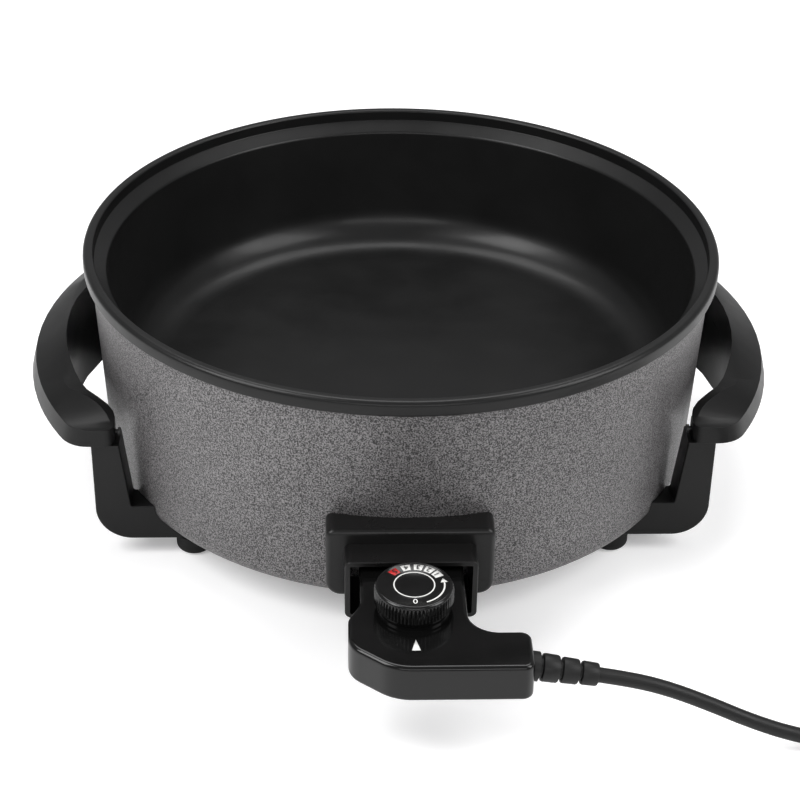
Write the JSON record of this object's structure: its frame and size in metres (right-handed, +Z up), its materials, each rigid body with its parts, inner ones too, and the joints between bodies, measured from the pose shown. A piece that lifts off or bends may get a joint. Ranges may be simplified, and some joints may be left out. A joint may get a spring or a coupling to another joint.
{
  "type": "electric skillet",
  "caption": "Round deep electric skillet with a lid seat, two side handles on legs and a plug-in controller with a dial and a cord.",
  "frame": {"origin": "middle of the base of the skillet and its plugged-in controller, on the surface that the feet stand on", "axes": "+Z up along the pan's axis; the plug-in controller faces -Y; the handles lie along X"},
  "size_m": [0.6112, 0.5074, 0.166],
  "materials": {
    "nonstick_black": "semi-gloss non-stick coating",
    "hammered_grey": "hammered lacquer",
    "plain_steel": "plain",
    "cast_aluminium": "as cast",
    "white_ceramic": "glazed",
    "handle_black": "satin",
    "foot_black": "matte",
    "guard_black": "satin",
    "case_black": "gloss",
    "dial_black": "gloss",
    "inner_plastic": "matte",
    "contact_brass": "plain",
    "cord_black": "matte"
  },
  "bodies": {
    "pan": {"inner_pan": "nonstick_black", "outer_shell": "hammered_grey", "base_cover": "plain_steel", "centre_stud": "plain_steel", "centre_nut": "plain_steel", "heat_plate": "cast_aluminium", "heating_element": "plain_steel", "element_clamps": "plain_steel", "terminal_pins": "plain_steel", "terminal_bushes": "white_ceramic", "socket_plate": "plain_steel", "probe_well": "plain_steel", "socket_guard": "guard_black", "guard_screws": "plain_steel", "handle_right": "handle_black", "handle_left": "handle_black", "handle_wall_right": "handle_black", "handle_wall_left": "handle_black", "leg_front_right": "handle_black", "leg_front_left": "handle_black", "leg_rear_right": "handle_black", "leg_rear_left": "handle_black", "foot_front_right": "foot_black", "foot_front_left": "foot_black", "foot_rear_right": "foot_black", "foot_rear_left": "foot_black", "leg_screws": "plain_steel", "leg_nuts": "plain_steel", "handle_screws": "plain_steel"},
    "controller": {"case_top": "case_black", "case_bottom": "case_black", "case_screws": "plain_steel", "terminal_block": "white_ceramic", "terminal_clips": "contact_brass", "probe": "plain_steel", "thermostat_frame": "inner_plastic", "contact_blades": "contact_brass", "dial_collar": "case_black", "strain_relief": "cord_black", "cord_clamp": "inner_plastic", "cord": "cord_black", "cord_coil": "cord_black", "cord_tail": "cord_black", "cord_tie": "cord_black", "plug_body": "cord_black", "plug_pins": "contact_brass"},
    "dial": {"dial": "dial_black", "dial_shaft": "plain_steel", "thermostat_cam": "dial_black"}
  },
  "joints": [
    {"name": "controller_slide", "type": "slide", "parent": "pan", "child": "controller", "axis": [0, -1, 0], "range_m": [0, 0.12]},
    {"name": "dial_turn", "type": "hinge", "parent": "controller", "child": "dial", "pos_m": [0, -0.20125, 0.078], "axis": [0, 0, -1], "range_deg": [0, 235]}
  ]
}
